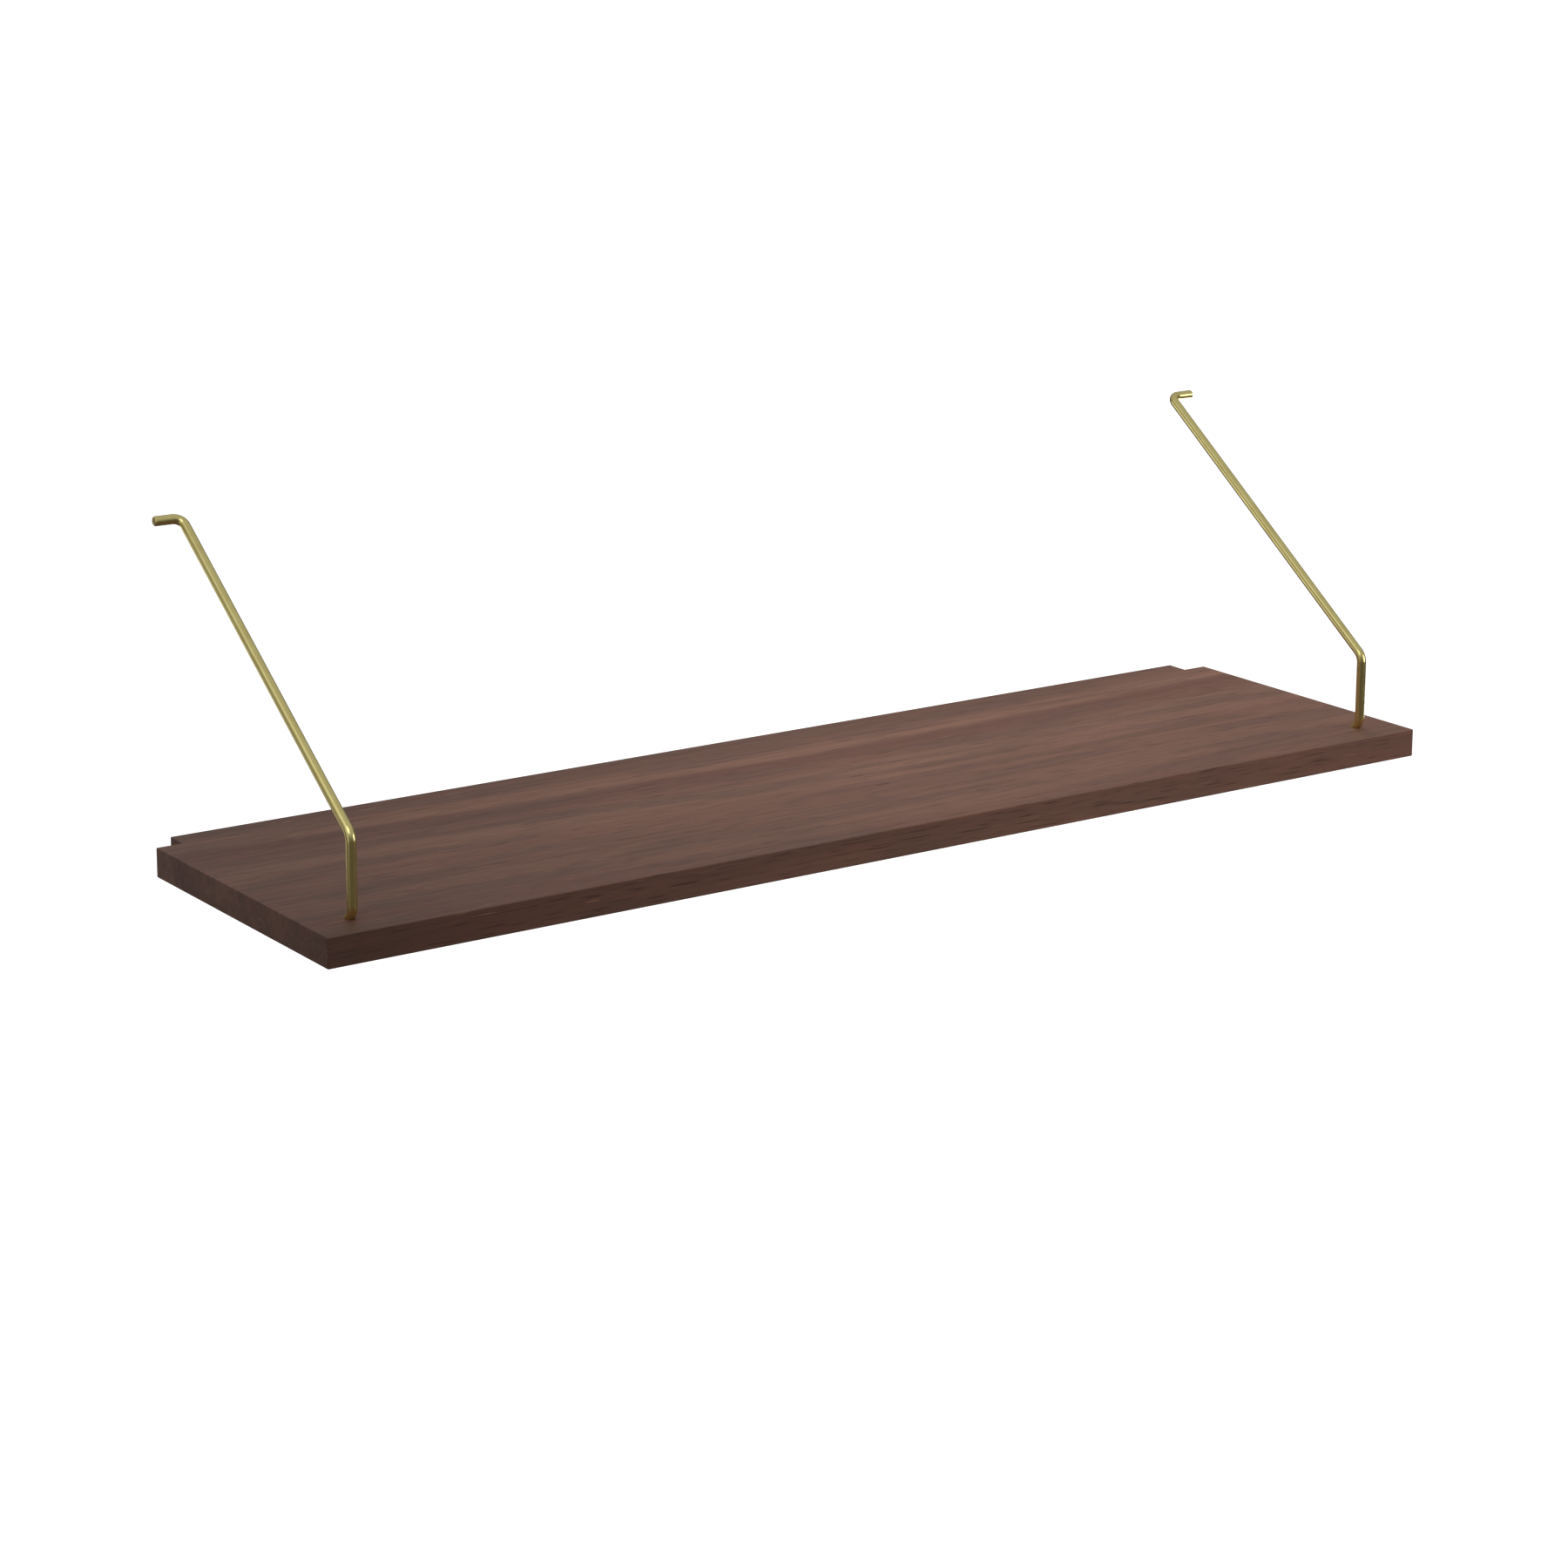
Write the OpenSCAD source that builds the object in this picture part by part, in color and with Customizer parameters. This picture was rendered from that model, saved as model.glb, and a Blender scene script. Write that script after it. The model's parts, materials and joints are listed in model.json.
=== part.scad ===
// Wall shelf: a solid wood board held between two wall rails by two bent brass rods.
// The rails belong to the wall system and are not part of the shelf.
//
// Frame: X runs along the board, Y points to the wall and Z points up.
// The origin is the middle of the board's back face, at half the board's thickness.
// The two rear studs lie at this height, and the hooks lie rail_step above it.

/* [Board] */
// Length of the board along the wall
board_w = 800; // [500:1:1200]
// Depth of the board from its front edge to its back face
board_d = 225; // [180:1:350]
// Thickness of the board
board_t = 18; // [16:0.5:30]
// Width of the chamfer that breaks the board's sharp edges
edge_break = 0.6; // [0.2:0.1:1.5]

/* [Rail notches] */
// Width of each rear corner notch, which clears half of a rail
notch_w = 17; // [12:0.5:30]
// Depth of each rear corner notch
notch_d = 16; // [12:0.5:30]

/* [Rail holes] */
// Height of the hooks above the rear studs
rail_step = 200; // [160:1:300]
// Distance of the hooks and studs in front of the board's back face
line_back = 6; // [5:0.5:8]
// Length of each hook and stud that enters a rail
rail_reach = 7; // [5:0.5:10]

/* [Rear studs] */
// Diameter of the stud that enters the rail
stud_d = 6; // [5:0.5:8]
// Diameter of the shank pressed into the board
shank_d = 5; // [3:0.5:5]
// Length of the shank
shank_len = 14; // [8:0.5:30]

/* [Hangers] */
// Diameter of the rod
rod_d = 6; // [5:0.5:8]
// Distance from the notch to the middle of the rod
rod_gap = 10.5; // [8:0.5:30]
// Distance from the front edge to the middle of the upright leg
leg_front = 22; // [15:0.5:40]
// Height of the knee above the board's top face
knee_h = 48.5; // [36:0.5:80]
// Bend radius at the knee, to the middle of the rod
knee_r = 9; // [6:0.5:12]
// Bend radius at the hook, to the middle of the rod
hook_r = 6; // [5:0.5:8]
// Bend radius above the board, to the middle of the rod
foot_r = 8; // [6:0.5:10]
// Angle by which the foot leans back from the upright leg
foot_angle = 45; // [35:1:50]
// Straight length of the foot between its bend and the board's top face
foot_lead = 2.3; // [1:0.1:4]
// Chamfer at the ends of the rods and studs
rod_break = 0.5; // [0.2:0.1:1]

/* [Fits] */
// Radial clearance of the foot in its hole
foot_play = 0.08; // [0.02:0.01:0.1]
// Room past the end of the foot and of the shank
end_room = 1; // [0.5:0.1:2]
// Wood left under each slanted hole
hole_floor = 4; // [3:0.5:6]

/* [Hidden] */
$fn = 64;

cut_over = 5;
bend_lap = 0.2;
bend_step = 0.01;
walnut = "#5f4a40";
brass = "#b0a25a";

top_z = board_t / 2;
tongue_x = board_w / 2 - notch_w;
line_y = -line_back;

// The rod's middle line, from the foot up to the hook
rod_x = tongue_x - rod_gap;
leg_y = leg_front - board_d;
foot_back = foot_r * (1 - cos(foot_angle));
foot_top_z = top_z + foot_r * sin(foot_angle) + foot_lead * cos(foot_angle);
mouth_y = leg_y + foot_back + foot_lead * sin(foot_angle);
knee_z = top_z + knee_h;
brace_run = line_y - leg_y;
brace_rise = rail_step - knee_z;
brace_angle = atan2(brace_run, brace_rise);
brace_len = norm([brace_run, brace_rise]);
knee_cut = knee_r * tan(brace_angle / 2);
hook_len = rod_gap + rail_reach;

// The slanted hole for the foot
hole_d = rod_d + 2 * foot_play;
hole_len = (board_t - hole_floor - hole_d / 2 * sin(foot_angle)) / cos(foot_angle);
foot_in = hole_len - end_room;

// The board seen from above, counter-clockwise from its front left corner
outline = [
    [-board_w / 2, -board_d],
    [board_w / 2, -board_d],
    [board_w / 2, -notch_d],
    [tongue_x, -notch_d],
    [tongue_x, 0],
    [-tongue_x, 0],
    [-tongue_x, -notch_d],
    [-board_w / 2, -notch_d]
];
outer_corners = [0, 1, 2, 4, 5, 7];

// A square bar that takes the sharp edge off, lying along +X from the origin
module edge_bar(length) {
    side = edge_break * sqrt(2);
    rotate([45, 0, 0])
        translate([0, -side / 2, -side / 2])
            cube([length, side, side]);
}

// Chamfers on every long edge and outer corner of the board
module edge_breaks() {
    count = len(outline);
    for (i = [0 : count - 1]) {
        start = outline[i];
        run = outline[(i + 1) % count] - start;
        for (z = [-top_z, top_z])
            translate([start.x, start.y, z])
                rotate([0, 0, atan2(run.y, run.x)])
                    edge_bar(norm(run));
    }
    for (i = outer_corners)
        translate([outline[i].x, outline[i].y, -top_z])
            rotate([0, -90, 0])
                edge_bar(board_t);
}

// Places its child at a hole's mouth, with +Z up along the foot
module at_mouth(side) {
    translate([side * rod_x, mouth_y, top_z])
        rotate([foot_angle, 0, 0])
            children();
}

// Places its child on the board's notch face, with +Z out of the board
module at_stud(side) {
    translate([side * tongue_x, line_y, 0])
        rotate([0, side * 90, 0])
            children();
}

module shelf_board() {
    color(walnut)
        difference() {
            translate([0, 0, -top_z])
                linear_extrude(board_t)
                    polygon(outline);
            edge_breaks();
            for (side = [-1, 1]) {
                at_mouth(side)
                    translate([0, 0, -hole_len])
                        cylinder(d = hole_d, h = hole_len + cut_over + hole_d);
                at_stud(side)
                    translate([0, 0, -shank_len - end_room])
                        cylinder(d = shank_d, h = shank_len + end_room + cut_over);
            }
        }
}

// A straight rod standing on the XY plane
module rod(length) {
    cylinder(d = rod_d, h = length);
}

// A straight rod standing on the XY plane, chamfered at its top
module ended_rod(d, length) {
    cylinder(d = d, h = length - rod_break);
    translate([0, 0, length - rod_break])
        cylinder(d1 = d, d2 = d - 2 * rod_break, h = rod_break);
}

// A bend that leaves the origin upwards and turns towards +Y. It is a hair thinner than
// the rod and runs a little way into the straight lengths at both ends.
module bend(radius, angle) {
    lap = bend_lap / radius * 180 / PI;
    translate([0, radius, 0])
        rotate([90, 0, 90])
            rotate([0, 0, 180 - angle - lap])
                rotate_extrude(angle = angle + 2 * lap)
                    translate([radius, 0])
                        circle(d = rod_d - 2 * bend_step);
}

// One hanger with its hook turned to +X, made piece by piece up its middle line
module hanger() {
    color(brass)
        translate([rod_x, 0, 0]) {
            // Foot: slants down and back into its hole
            translate([0, mouth_y, top_z])
                rotate([foot_angle, 0, 0])
                    translate([0, 0, foot_lead])
                        rotate([180, 0, 0])
                            ended_rod(rod_d, foot_lead + foot_in);
            // Bend between the foot and the leg
            translate([0, leg_y, foot_top_z])
                mirror([0, 0, 1])
                    bend(foot_r, foot_angle);
            // Upright leg
            translate([0, leg_y, foot_top_z])
                rod(knee_z - knee_cut - foot_top_z);
            // Knee
            translate([0, leg_y, knee_z - knee_cut])
                bend(knee_r, brace_angle);
            // Slanted brace, with the hook's bend and straight end on top of it
            translate([0, leg_y, knee_z])
                rotate([-brace_angle, 0, 0]) {
                    translate([0, 0, knee_cut])
                        rod(brace_len - knee_cut - hook_r);
                    translate([0, 0, brace_len - hook_r])
                        rotate([0, 0, -90])
                            bend(hook_r, 90);
                    translate([hook_r, 0, brace_len])
                        rotate([0, 90, 0])
                            ended_rod(rod_d, hook_len - hook_r);
                }
        }
}

module right_hanger() {
    hanger();
}

module left_hanger() {
    mirror([1, 0, 0])
        hanger();
}

// A turned stud whose shoulder rests on the notch face
module rear_stud(side) {
    color(brass)
        at_stud(side) {
            ended_rod(stud_d, rail_reach);
            rotate([180, 0, 0])
                ended_rod(shank_d, shank_len);
        }
}

module right_rear_stud() {
    rear_stud(1);
}

module left_rear_stud() {
    rear_stud(-1);
}

shelf_board();
left_hanger();
right_hanger();
left_rear_stud();
right_rear_stud();
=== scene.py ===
import json
import math

import bmesh
import bpy
from mathutils import Matrix, Vector


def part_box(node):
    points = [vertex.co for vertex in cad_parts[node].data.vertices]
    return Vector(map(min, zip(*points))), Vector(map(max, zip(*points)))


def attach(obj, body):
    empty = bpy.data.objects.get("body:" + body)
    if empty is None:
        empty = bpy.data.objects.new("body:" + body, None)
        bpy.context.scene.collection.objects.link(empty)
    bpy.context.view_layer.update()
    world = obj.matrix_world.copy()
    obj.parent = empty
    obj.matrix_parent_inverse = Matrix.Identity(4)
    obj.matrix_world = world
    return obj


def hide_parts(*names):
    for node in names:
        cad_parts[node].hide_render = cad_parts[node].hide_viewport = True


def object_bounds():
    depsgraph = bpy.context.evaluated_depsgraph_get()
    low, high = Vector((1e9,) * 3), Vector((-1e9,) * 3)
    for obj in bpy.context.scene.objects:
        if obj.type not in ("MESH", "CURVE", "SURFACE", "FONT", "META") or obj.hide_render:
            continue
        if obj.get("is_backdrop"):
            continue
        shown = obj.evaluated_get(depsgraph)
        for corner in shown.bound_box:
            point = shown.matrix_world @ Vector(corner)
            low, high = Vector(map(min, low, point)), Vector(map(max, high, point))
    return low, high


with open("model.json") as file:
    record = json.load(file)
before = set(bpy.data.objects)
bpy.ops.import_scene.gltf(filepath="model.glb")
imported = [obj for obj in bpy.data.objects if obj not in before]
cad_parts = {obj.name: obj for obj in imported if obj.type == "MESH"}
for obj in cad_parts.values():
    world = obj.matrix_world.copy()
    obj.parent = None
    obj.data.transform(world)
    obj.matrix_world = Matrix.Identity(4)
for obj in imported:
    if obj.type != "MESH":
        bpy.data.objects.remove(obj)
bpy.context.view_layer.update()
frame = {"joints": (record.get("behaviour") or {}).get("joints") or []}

# ---------------------------------------------------------------- Shelf board
# One plank of black walnut, planed, with each rear corner sawn out to clear a wall rail.
# The edges are just sanded off and the faces are oiled to a satin sheen. Each hanger has a
# blind hole drilled at a slant in the top, and each rear stud a blind hole in a notch.

MM = 0.001
WELD = 0.001 * MM
SHARP_ANGLE = math.radians(35)
ARRIS = 0.6 * MM
ARRIS_STEPS = 3
NOTCH_DEPTH = 16 * MM
FOOT_HOLE_RADIUS = 3.08 * MM
FOOT_HOLE_FLOOR = 4 * MM
SHANK_RADIUS = 2.5 * MM
SHANK_LENGTH = 14 * MM
SHANK_HOLE_DEPTH = 15 * MM
HOLE_SIDES = 48

board_low, board_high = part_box("shelf_board")
stud_low, stud_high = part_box("right_rear_stud")
hanger_low, hanger_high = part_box("right_hanger")
stud_axis_y = (stud_low.y + stud_high.y) / 2
notch_face_x = stud_low.x + SHANK_LENGTH

# Each hanger's foot leans from the upright by the slant of its hinge, and so does its hole
joints = {joint["name"]: joint for joint in frame["joints"]}
foot_lean = Vector(joints["right_hanger_swivel"]["axis"]).angle(Vector((0, 0, 1)))
foot_hole_depth = (board_high.z - board_low.z - FOOT_HOLE_FLOOR) / math.cos(foot_lean)
foot_hole_depth -= FOOT_HOLE_RADIUS * math.tan(foot_lean)


def mesh_piece(name, bm):
    """Turns a bmesh into an object at the origin, with rounded parts smooth and corners sharp."""
    mesh = bpy.data.meshes.new(name)
    bm.to_mesh(mesh)
    bm.free()
    mesh.shade_smooth()
    mesh.set_sharp_from_angle(angle=SHARP_ANGLE)
    piece = bpy.data.objects.new(name, mesh)
    bpy.context.scene.collection.objects.link(piece)
    return piece


def drill_bit(name, radius, length, place):
    """A cylinder whose middle is at the origin of place and whose axis is its Z."""
    bm = bmesh.new()
    bmesh.ops.create_cone(
        bm, cap_ends=True, segments=HOLE_SIDES, radius1=radius, radius2=radius, depth=length
    )
    bmesh.ops.transform(bm, matrix=place, verts=bm.verts)
    return mesh_piece(name, bm)


bm = bmesh.new()
corners = [
    (board_high.x, board_low.y),
    (board_high.x, -NOTCH_DEPTH),
    (notch_face_x, -NOTCH_DEPTH),
    (notch_face_x, board_high.y),
]
outline = corners + [(-x, y) for x, y in reversed(corners)]
face = bm.faces.new([bm.verts.new((x, y, board_low.z)) for x, y in outline])
raised = bmesh.ops.extrude_face_region(bm, geom=[face])["geom"]
bmesh.ops.translate(
    bm,
    verts=[part for part in raised if isinstance(part, bmesh.types.BMVert)],
    vec=(0, 0, board_high.z - board_low.z),
)
bmesh.ops.recalc_face_normals(bm, faces=bm.faces)
bmesh.ops.bevel(
    bm,
    geom=[edge for edge in bm.edges if edge.is_convex],
    affect="EDGES",
    offset=ARRIS,
    segments=ARRIS_STEPS,
    profile=0.5,
    material=-1,
)
board = mesh_piece("shelf_board_wood", bm)

# Every bit stands out of the wood, by enough to clear the mouth of a slanted hole
bits = []
for joint in joints.values():
    mouth, axis = Vector(joint["pos_m"]), Vector(joint["axis"])
    place = Matrix.Translation(mouth) @ axis.to_track_quat("Z", "Y").to_matrix().to_4x4()
    over = 4 * FOOT_HOLE_RADIUS
    shift = Matrix.Translation((0, 0, (over - foot_hole_depth) / 2))
    bits.append(drill_bit("bit", FOOT_HOLE_RADIUS, foot_hole_depth + over, place @ shift))
for side in (-1, 1):
    over = 2 * SHANK_RADIUS
    middle = side * (notch_face_x + (over - SHANK_HOLE_DEPTH) / 2)
    place = Matrix.Translation((middle, stud_axis_y, 0)) @ Matrix.Rotation(math.pi / 2, 4, "Y")
    bits.append(drill_bit("bit", SHANK_RADIUS, SHANK_HOLE_DEPTH + over, place))
for bit in bits:
    hole = board.modifiers.new("hole", "BOOLEAN")
    hole.object = bit
    hole.operation = "DIFFERENCE"
    hole.solver = "EXACT"
weights = board.modifiers.new("flat_faces_stay_flat", "WEIGHTED_NORMAL")
weights.keep_sharp = True
bored = bpy.data.meshes.new_from_object(
    board.evaluated_get(bpy.context.evaluated_depsgraph_get())
)
board.modifiers.clear()
board.data = bored
for bit in bits:
    bpy.data.objects.remove(bit)


def linear(hex_colour):
    """An sRGB hex colour as linear RGBA."""
    channels = [int(hex_colour[i : i + 2], 16) / 255 for i in (1, 3, 5)]
    toe, slope, offset, gamma = 0.04045, 12.92, 0.055, 2.4
    return [
        c / slope if c <= toe else ((c + offset) / (1 + offset)) ** gamma for c in channels
    ] + [1]


def add(tree, kind, out, inputs=None, stops=None, **settings):
    """Adds a node with its settings, ramp stops and inputs or links, and returns one output.
    A socket is given by name, or by number where several sockets of a node share a name."""
    node = tree.nodes.new("ShaderNode" + kind)
    for name, value in settings.items():
        setattr(node, name, value)
    if stops:
        ramp = node.color_ramp
        while len(ramp.elements) < len(stops):
            ramp.elements.new(0.5)
        for element, (position, colour) in zip(ramp.elements, stops):
            element.position = position
            element.color = linear(colour)
    for name, value in (inputs or {}).items():
        socket = node.inputs[name]
        if isinstance(value, bpy.types.NodeSocket):
            tree.links.new(value, socket)
        else:
            socket.default_value = value
    return node.outputs[out]


# Oiled black walnut: brown heartwood with an open grain. The pattern is solid, so the figure
# of the top runs over the edges, and the growth layers show as curved lines on the sawn ends.
walnut = bpy.data.materials.new("oiled_black_walnut")
walnut.use_nodes = True
tree = walnut.node_tree
shader = tree.nodes["Principled BSDF"]
place = add(tree, "TexCoord", "Object")
along = add(tree, "SeparateXYZ", "X", {"Vector": place})


def grain_noise(length, width, detail=2.0, shift=0.0):
    """Noise whose blots have this length along the grain and this width across it."""
    scale = (1 / length, 1 / width, 1 / width)
    point = add(
        tree, "Mapping", "Vector", {"Vector": place, "Location": (shift,) * 3, "Scale": scale}
    )
    return add(tree, "TexNoise", "Fac", {"Vector": point, "Scale": 1.0, "Detail": detail})


# Growth layers are rings round the heart of the log, which lay above the front edge. They
# wander slowly along the plank, and bow towards its back at both ends.
HEART_AHEAD = 20 * MM
HEART_ABOVE = 70 * MM
BOW = 17 * MM
WANDER = 16 * MM
heart_y = board_low.y - HEART_AHEAD
flat_place = add(tree, "VectorMath", "Vector", {0: place, 1: (0, 1, 1)}, operation="MULTIPLY")
heart = (0, heart_y, HEART_ABOVE)
layer = add(tree, "VectorMath", "Value", {0: flat_place, 1: heart}, operation="DISTANCE")
bow = add(tree, "Math", "Value", {0: along, 1: 2.0}, operation="POWER")
bow = add(tree, "Math", "Value", {0: bow, 1: BOW / board_high.x**2}, operation="MULTIPLY")
layer = add(tree, "Math", "Value", {0: layer, 1: bow}, operation="SUBTRACT")
wander = grain_noise(320 * MM, 60 * MM)
wander = add(tree, "Math", "Value", {0: wander, 1: 0.5}, operation="SUBTRACT")
layer = add(
    tree, "Math", "Value", {0: wander, 1: WANDER, 2: layer}, operation="MULTIPLY_ADD"
)
front_layer = math.hypot(board_low.y - heart_y, board_high.z - HEART_ABOVE)
back_layer = math.hypot(board_high.y - heart_y, board_high.z - HEART_ABOVE)
across = add(
    tree, "MapRange", "Result", {"Value": layer, "From Min": front_layer, "From Max": back_layer}
)

# Broad figure of lighter and darker heartwood, from the front edge (0) to the back face (1)
figure = add(
    tree,
    "ValToRGB",
    "Color",
    {"Fac": across},
    stops=[
        (0.00, "#8a6253"),
        (0.08, "#936b5a"),
        (0.22, "#8f6757"),
        (0.33, "#976c5b"),
        (0.48, "#9b725f"),
        (0.56, "#8f6656"),
        (0.68, "#825a4c"),
        (0.705, "#865e4f"),
        (0.735, "#9f7460"),
        (0.80, "#976d5b"),
        (0.88, "#876151"),
        (1.00, "#7a5748"),
    ],
)

# Slow clouds of darker, greyer wood, 120 mm long and 14 mm wide
clouds = grain_noise(120 * MM, 14 * MM, detail=3.0, shift=3.7)
share = add(
    tree, "MapRange", "Result", {"Value": clouds, "From Min": 0.45, "From Max": 0.62, "To Max": 0.6}
)
figure = add(
    tree, "Mix", 2, {0: share, 6: figure, 7: linear("#7a5c50")}, data_type="RGBA"
)

# Tone: 3 mm growth layers, streaks 4 mm wide, and painted shade that darkens the wood towards the
# left end
RING = 3 * MM
rings = add(
    tree, "TexNoise", "Fac", {"W": layer, "Scale": 1 / RING, "Detail": 1.0}, noise_dimensions="1D"
)
streaks = grain_noise(140 * MM, 4 * MM, detail=4.0)
tones = [
    (rings, 0.30, 0.70, 0.93, 1.03),
    (streaks, 0.30, 0.70, 0.93, 1.02),
    # Painted shade: the wood is darkened to 0.57 at the left end, fading out 50 mm right of the
    # middle
    (along, board_low.x, 50 * MM, 0.57, 1.00),
]
for value, low, high, dark, light in tones:
    tone = add(
        tree,
        "MapRange",
        "Result",
        {"Value": value, "From Min": low, "From Max": high, "To Min": dark, "To Max": light},
    )
    figure = add(tree, "VectorMath", "Vector", {0: figure, "Scale": tone}, operation="SCALE")

# Pores: short dark scratches along the grain, drawn 0.8 mm wide, which is coarser than real,
# so that they show. Pale flecks lie where the grain dips out of the face.
pores = grain_noise(22 * MM, 0.8 * MM, detail=1.0)
flecks = grain_noise(30 * MM, 2.2 * MM, detail=1.0, shift=8.1)
marks = [
    (pores, 0.40, 0.30, 0.55, "#3c2820"),
    (flecks, 0.70, 0.80, 0.50, "#b08468"),
]
for value, start, full, strength, colour in marks:
    share = add(
        tree,
        "MapRange",
        "Result",
        {"Value": value, "From Min": start, "From Max": full, "To Max": strength},
    )
    figure = add(tree, "Mix", 2, {0: share, 6: figure, 7: linear(colour)}, data_type="RGBA")
tree.links.new(figure, shader.inputs["Base Color"])

# The oil leaves a satin skin that is a little duller over the open streaks
satin = add(
    tree,
    "MapRange",
    "Result",
    {"Value": streaks, "From Min": 0.3, "From Max": 0.7, "To Min": 0.56, "To Max": 0.47},
)
tree.links.new(satin, shader.inputs["Roughness"])
relief = add(tree, "Bump", "Normal", {"Height": pores, "Strength": 0.12, "Distance": 0.1 * MM})
tree.links.new(relief, shader.inputs["Normal"])
shader.inputs["IOR"].default_value = 1.47
shader.inputs["Specular IOR Level"].default_value = 0.25

board.data.materials.clear()
board.data.materials.append(walnut)
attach(board, "board")
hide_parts("shelf_board")

# ---------------------------------------------------------------- Hangers
# Two 6 mm brass rods, each bent cold at three places: a hook that enters the rail, a knee
# above the board and a foot that slants back into its hole. Polished, with sawn, broken ends.

ROD_RADIUS = 3 * MM
ROD_SIDES = 48
END_BREAK = 0.5 * MM
HOOK_BEND = 6 * MM
KNEE_BEND = 9 * MM
FOOT_BEND = 8 * MM
KNEE_HEIGHT = 48.5 * MM
FOOT_LEAD = 2.3 * MM
END_ROOM = 1 * MM
BEND_STEP = math.radians(5)


def moved_ring(bm, ring, move, grow=1.0):
    """Extrudes a ring of edges, moves the new ring and scales it about its own middle."""
    made = bmesh.ops.extrude_edge_only(bm, edges=ring)["geom"]
    verts = [part for part in made if isinstance(part, bmesh.types.BMVert)]
    middle = sum((vert.co for vert in verts), Vector()) / len(verts)
    bmesh.ops.scale(bm, vec=(grow,) * 3, verts=verts, space=Matrix.Translation(-middle))
    bmesh.ops.translate(bm, vec=move, verts=verts)
    return [
        part
        for part in made
        if isinstance(part, bmesh.types.BMEdge) and all(vert in verts for vert in part.verts)
    ]


def bent_ring(bm, ring, centre, axis, angle):
    """Spins a ring of edges about an axis through centre, and returns the last ring."""
    verts = {vert for edge in ring for vert in edge.verts}
    made = bmesh.ops.spin(
        bm,
        geom=list(verts) + ring,
        cent=centre,
        axis=axis,
        angle=angle,
        steps=round(angle / BEND_STEP),
        use_merge=False,
        use_duplicate=False,
    )["geom_last"]
    return [part for part in made if isinstance(part, bmesh.types.BMEdge)]


def hanger_piece(name, side, joint):
    """A rod walked from the hook's end down to the foot's end, for the right or left side."""
    foot = -Vector(joint["axis"])
    hook_y = hanger_high.y - ROD_RADIUS
    hook_z = hanger_high.z - ROD_RADIUS
    leg = Vector((hanger_low.x + ROD_RADIUS, hanger_low.y + ROD_RADIUS, 0))
    knee = Vector((leg.x, leg.y, board_high.z + KNEE_HEIGHT))
    top = Vector((leg.x, hook_y, hook_z))
    down_brace = (knee - top).normalized()
    brace_angle = down_brace.angle(Vector((0, 0, -1)))
    knee_cut = KNEE_BEND * math.tan(brace_angle / 2)

    bm = bmesh.new()
    start = Matrix.Translation((hanger_high.x, hook_y, hook_z)) @ Matrix.Rotation(
        math.pi / 2, 4, "Y"
    )
    bmesh.ops.create_circle(
        bm,
        cap_ends=True,
        segments=ROD_SIDES,
        radius=ROD_RADIUS - END_BREAK,
        matrix=start,
    )
    ring = moved_ring(
        bm, list(bm.edges), (-END_BREAK, 0, 0), ROD_RADIUS / (ROD_RADIUS - END_BREAK)
    )
    hook_straight = hanger_high.x - END_BREAK - leg.x - HOOK_BEND
    ring = moved_ring(bm, ring, (-hook_straight, 0, 0))
    hook_centre = top + Vector((HOOK_BEND, 0, 0)) + down_brace * HOOK_BEND
    turn = Vector((-1, 0, 0)).cross(down_brace)
    ring = bent_ring(bm, ring, hook_centre, turn, math.pi / 2)
    brace = (knee - top).length - HOOK_BEND - knee_cut
    ring = moved_ring(bm, ring, down_brace * brace)
    down = Vector((0, 0, -1))
    turn = down_brace.cross(down)
    inner = turn.cross(down_brace).normalized()
    knee_centre = knee - down_brace * knee_cut + inner * KNEE_BEND
    ring = bent_ring(bm, ring, knee_centre, turn, brace_angle)
    foot_top = board_high.z + FOOT_BEND * math.sin(foot_lean) + FOOT_LEAD * math.cos(foot_lean)
    ring = moved_ring(bm, ring, down * (knee.z - knee_cut - foot_top))
    foot_centre = Vector((leg.x, leg.y + FOOT_BEND, foot_top))
    ring = bent_ring(bm, ring, foot_centre, down.cross(foot), foot_lean)
    ring = moved_ring(bm, ring, foot * (FOOT_LEAD + foot_hole_depth - END_ROOM - END_BREAK))
    ring = moved_ring(bm, ring, foot * END_BREAK, (ROD_RADIUS - END_BREAK) / ROD_RADIUS)
    bmesh.ops.contextual_create(bm, geom=ring)
    if side < 0:
        bmesh.ops.scale(bm, vec=(-1, 1, 1), verts=bm.verts)
    bmesh.ops.remove_doubles(bm, verts=bm.verts, dist=WELD)
    bmesh.ops.recalc_face_normals(bm, faces=bm.faces)
    # The two end faces take the second material
    for face in bm.faces:
        face.material_index = int(len(face.verts) == ROD_SIDES)
    return mesh_piece(name, bm)


# Polished brass: a pale yellow metal, buffed bright. Handling leaves it slightly warmer and
# duller in soft patches about 9 mm wide. The buffing marks are drawn a third of a millimetre
# apart, which is coarser than real, so that they show.
brass = bpy.data.materials.new("polished_brass")
brass.use_nodes = True
tree = brass.node_tree
shader = tree.nodes["Principled BSDF"]
shader.inputs["Metallic"].default_value = 1.0
place = add(tree, "TexCoord", "Object")
PATCH = 9 * MM
patches = add(tree, "TexNoise", "Fac", {"Vector": place, "Scale": 1 / PATCH, "Detail": 3.0})
tint = add(tree, "ValToRGB", "Color", {"Fac": patches}, stops=[(0.3, "#e0d189"), (0.7, "#eadd95")])
tree.links.new(tint, shader.inputs["Base Color"])
polish = add(
    tree,
    "MapRange",
    "Result",
    {"Value": patches, "From Min": 0.3, "From Max": 0.7, "To Min": 0.25, "To Max": 0.17},
)
tree.links.new(polish, shader.inputs["Roughness"])
BUFFING = 0.33 * MM
buffing = add(tree, "TexNoise", "Fac", {"Vector": place, "Scale": 1 / BUFFING, "Detail": 1.0})
relief = add(
    tree, "Bump", "Normal", {"Height": buffing, "Strength": 0.05, "Distance": 0.02 * MM}
)
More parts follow.
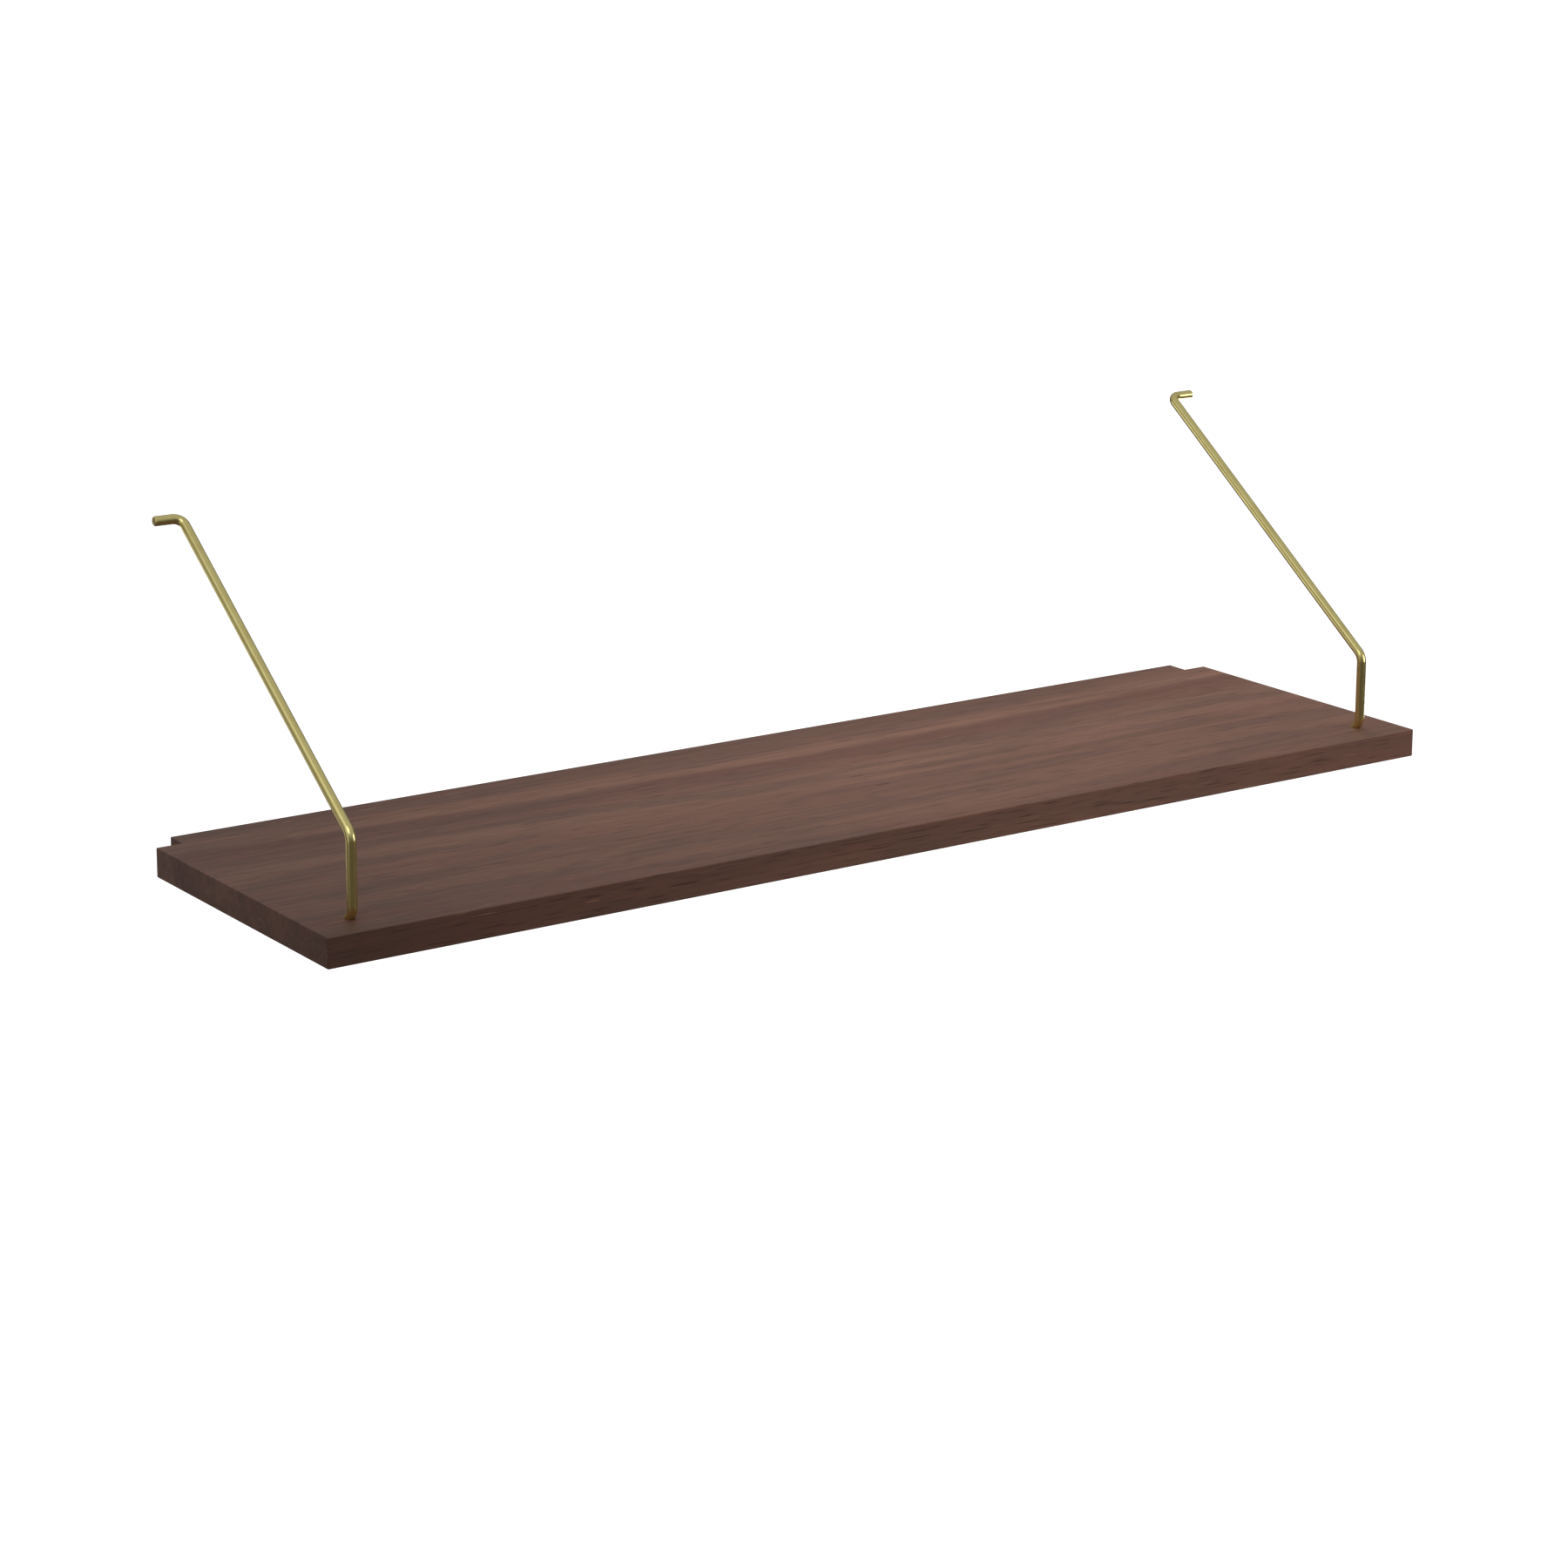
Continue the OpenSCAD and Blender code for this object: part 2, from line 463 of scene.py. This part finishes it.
tree.links.new(relief, shader.inputs["Normal"])

# Sawn brass: the ends of the rod are cut with a fine blade and left dull, with its marks
# half a millimetre apart.
sawn = bpy.data.materials.new("sawn_brass")
sawn.use_nodes = True
tree = sawn.node_tree
shader = tree.nodes["Principled BSDF"]
shader.inputs["Metallic"].default_value = 1.0
shader.inputs["Roughness"].default_value = 0.48
place = add(tree, "TexCoord", "Object")
KERF = 0.5 * MM
kerf = add(tree, "SeparateXYZ", "Z", {"Vector": place})
kerf = add(tree, "TexNoise", "Fac", {"W": kerf, "Scale": 1 / KERF}, noise_dimensions="1D")
tint = add(tree, "ValToRGB", "Color", {"Fac": kerf}, stops=[(0.35, "#8f8048"), (0.65, "#b5a663")])
tree.links.new(tint, shader.inputs["Base Color"])
relief = add(tree, "Bump", "Normal", {"Height": kerf, "Strength": 0.3, "Distance": 0.05 * MM})
tree.links.new(relief, shader.inputs["Normal"])

for word, side in (("left", -1), ("right", 1)):
    rod = hanger_piece(f"{word}_hanger_rod", side, joints[f"{word}_hanger_swivel"])
    rod.data.materials.append(brass)
    rod.data.materials.append(sawn)
    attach(rod, f"{word}_rod")
    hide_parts(f"{word}_hanger")

# ---------------------------------------------------------------- Rear studs
# Turned brass studs. A thin shank is pressed into the notch face up to the shoulder, and the
# thick end enters the wall rail, so it has a rounded lead and the fine rings of the lathe.

STUD_RADIUS = 3 * MM
LEAD = 0.7 * MM
SHANK_BREAK = 0.5 * MM


def stud_piece(name, side):
    """A stud as a full spin of its half outline about its own axis."""
    bm = bmesh.new()
    half = [
        (stud_low.x, 0),
        (stud_low.x, SHANK_RADIUS - SHANK_BREAK),
        (stud_low.x + SHANK_BREAK, SHANK_RADIUS),
        (notch_face_x, SHANK_RADIUS),
        (notch_face_x, STUD_RADIUS - LEAD / 4),
        (notch_face_x + LEAD / 4, STUD_RADIUS),
        (stud_high.x - LEAD, STUD_RADIUS),
        (stud_high.x - LEAD / 3, STUD_RADIUS - LEAD / 3),
        (stud_high.x, STUD_RADIUS - LEAD),
        (stud_high.x, 0),
    ]
    verts = [bm.verts.new((side * x, stud_axis_y, radius)) for x, radius in half]
    edges = [bm.edges.new(pair) for pair in zip(verts, verts[1:])]
    bmesh.ops.spin(
        bm,
        geom=verts + edges,
        cent=(0, stud_axis_y, 0),
        axis=(1, 0, 0),
        angle=2 * math.pi,
        steps=ROD_SIDES,
        use_merge=True,
        use_duplicate=False,
    )
    bmesh.ops.remove_doubles(bm, verts=bm.verts, dist=WELD)
    bmesh.ops.recalc_face_normals(bm, faces=bm.faces)
    return mesh_piece(name, bm)


# Turned brass: yellower than the polished rods and satin, with the fine rings that the lathe
# tool leaves. They are drawn 0.4 mm apart, which is coarser than real, so that they show.
turned = bpy.data.materials.new("turned_brass")
turned.use_nodes = True
tree = turned.node_tree
shader = tree.nodes["Principled BSDF"]
shader.inputs["Metallic"].default_value = 1.0
place = add(tree, "TexCoord", "Object")
FEED = 0.4 * MM
feed = add(tree, "SeparateXYZ", "X", {"Vector": place})
feed = add(tree, "TexNoise", "Fac", {"W": feed, "Scale": 1 / FEED}, noise_dimensions="1D")
tint = add(tree, "ValToRGB", "Color", {"Fac": feed}, stops=[(0.35, "#cdb768"), (0.65, "#e2d183")])
tree.links.new(tint, shader.inputs["Base Color"])
satin = add(
    tree,
    "MapRange",
    "Result",
    {"Value": feed, "From Min": 0.3, "From Max": 0.7, "To Min": 0.38, "To Max": 0.28},
)
tree.links.new(satin, shader.inputs["Roughness"])
relief = add(tree, "Bump", "Normal", {"Height": feed, "Strength": 0.4, "Distance": 0.05 * MM})
tree.links.new(relief, shader.inputs["Normal"])

for word, side in (("left", -1), ("right", 1)):
    stud = stud_piece(f"{word}_rear_stud_turned", side)
    stud.data.materials.append(turned)
    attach(stud, "board")
    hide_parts(f"{word}_rear_stud")

# ---------------------------------------------------------------- Studio
# A white floor far below the hung shelf and soft lights all round it. The camera sees white
# beyond the floor, but the room is dim, so that the brass has something dark to mirror.

FLOOR_REACH = 40
FLOOR_DROP = 3

bm = bmesh.new()
bmesh.ops.create_grid(bm, x_segments=1, y_segments=1, size=FLOOR_REACH)
bmesh.ops.translate(bm, verts=bm.verts, vec=(0, 0, -FLOOR_DROP))
floor = mesh_piece("floor", bm)
paper = bpy.data.materials.new("white_paper")
paper.use_nodes = True
shader = paper.node_tree.nodes["Principled BSDF"]
shader.inputs["Base Color"].default_value = linear("#f4f4f4")
shader.inputs["Roughness"].default_value = 0.9
shader.inputs["Emission Color"].default_value = (1, 1, 1, 1)
shader.inputs["Emission Strength"].default_value = 0.9
floor.data.materials.append(paper)
floor.visible_diffuse = False
floor.visible_glossy = False
floor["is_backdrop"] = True

world = bpy.data.worlds.new("dim_room")
bpy.context.scene.world = world
world.use_nodes = True
tree = world.node_tree
direction = add(tree, "TexCoord", "Generated")
height = add(tree, "SeparateXYZ", "Z", {"Vector": direction})
share = add(tree, "MapRange", "Result", {"Value": height, "From Min": -1.0})
room = add(
    tree,
    "ValToRGB",
    "Color",
    {"Fac": share},
    stops=[
        (0.00, "#5a514d"),
        (0.43, "#5c5552"),
        (0.58, "#747474"),
        (0.75, "#adadad"),
        (1.00, "#bcbcbc"),
    ],
)
tree.links.new(room, tree.nodes["Background"].inputs["Color"])
white = add(tree, "Background", "Background", {"Color": (1, 1, 1, 1)})
seen = add(tree, "LightPath", "Is Camera Ray")
dim = tree.nodes["Background"].outputs["Background"]
both = add(tree, "MixShader", "Shader", {0: seen, 1: dim, 2: white})
tree.links.new(both, tree.nodes["World Output"].inputs["Surface"])


def softbox(name, size, place, watts, lights=True, mirrored=True):
    """A square soft light that faces the shelf, unseen by the camera. With mirrored off it
    leaves no reflection, and with lights off it leaves nothing but a reflection."""
    light = bpy.data.lights.new(name, "AREA")
    light.size = size
    light.energy = watts
    lamp = bpy.data.objects.new(name, light)
    lamp.location = place
    lamp.rotation_euler = (-Vector(place)).to_track_quat("-Z", "Y").to_euler()
    lamp.visible_camera = False
    lamp.visible_diffuse = lights
    lamp.visible_glossy = mirrored
    bpy.context.scene.collection.objects.link(lamp)


# The first five light the wood. The cards after them are there for the brass to mirror.
softbox("high_left_light", 0.5, (-1.1, -0.6, 1.5), 2.1, mirrored=False)
softbox("low_left_light", 1.5, (-2.2, -0.3, 0.3), 2.4)
softbox("low_right_light", 0.8, (1.15, -1.35, 0.35), 6.0)
softbox("back_light", 1.0, (0.6, 0.9, 1.2), 6.5, mirrored=False)
softbox("floor_bounce", 1.5, (0.0, 0.5, -1.6), 5.0, mirrored=False)
softbox("high_left_card", 1.2, (-1.38, -1.0, 1.62), 6.0, lights=False)
softbox("overhead_card", 2.2, (-3.95, 0.0, 4.35), 5.2, lights=False)
softbox("back_left_card", 1.2, (-1.4, 1.9, -0.3), 1.5, lights=False)
softbox("far_left_card", 0.9, (-1.73, 1.25, 0.27), 0.4, lights=False)
softbox("behind_card", 0.55, (-0.35, 0.56, 0.09), 0.45, lights=False)
softbox("under_right_card", 0.8, (1.1, 0.25, -0.6), 8.0, lights=False)

# ---------------------------------------------------------------- Camera
# A long lens in front of the shelf's left end and a little above it. It looks down to the
# right across the board, and is shifted so that the shelf sits in the middle of the frame.

camera_data = bpy.data.cameras.new("camera")
camera = bpy.data.objects.new("camera", camera_data)
bpy.context.scene.collection.objects.link(camera)
bpy.context.scene.camera = camera
YAW, PITCH, ROLL = (math.radians(angle) for angle in (34.75, -12.655, 0.227))
camera.location = (-1.3592, -2.0356, 0.6579)
camera.rotation_euler = (math.pi / 2 + PITCH, -ROLL, -YAW)
camera_data.sensor_width = 36
camera_data.lens = 90.49
camera_data.shift_y = -0.122
camera_data.clip_start = 0.1

bpy.context.scene.view_settings.view_transform = "Standard"

low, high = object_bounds()
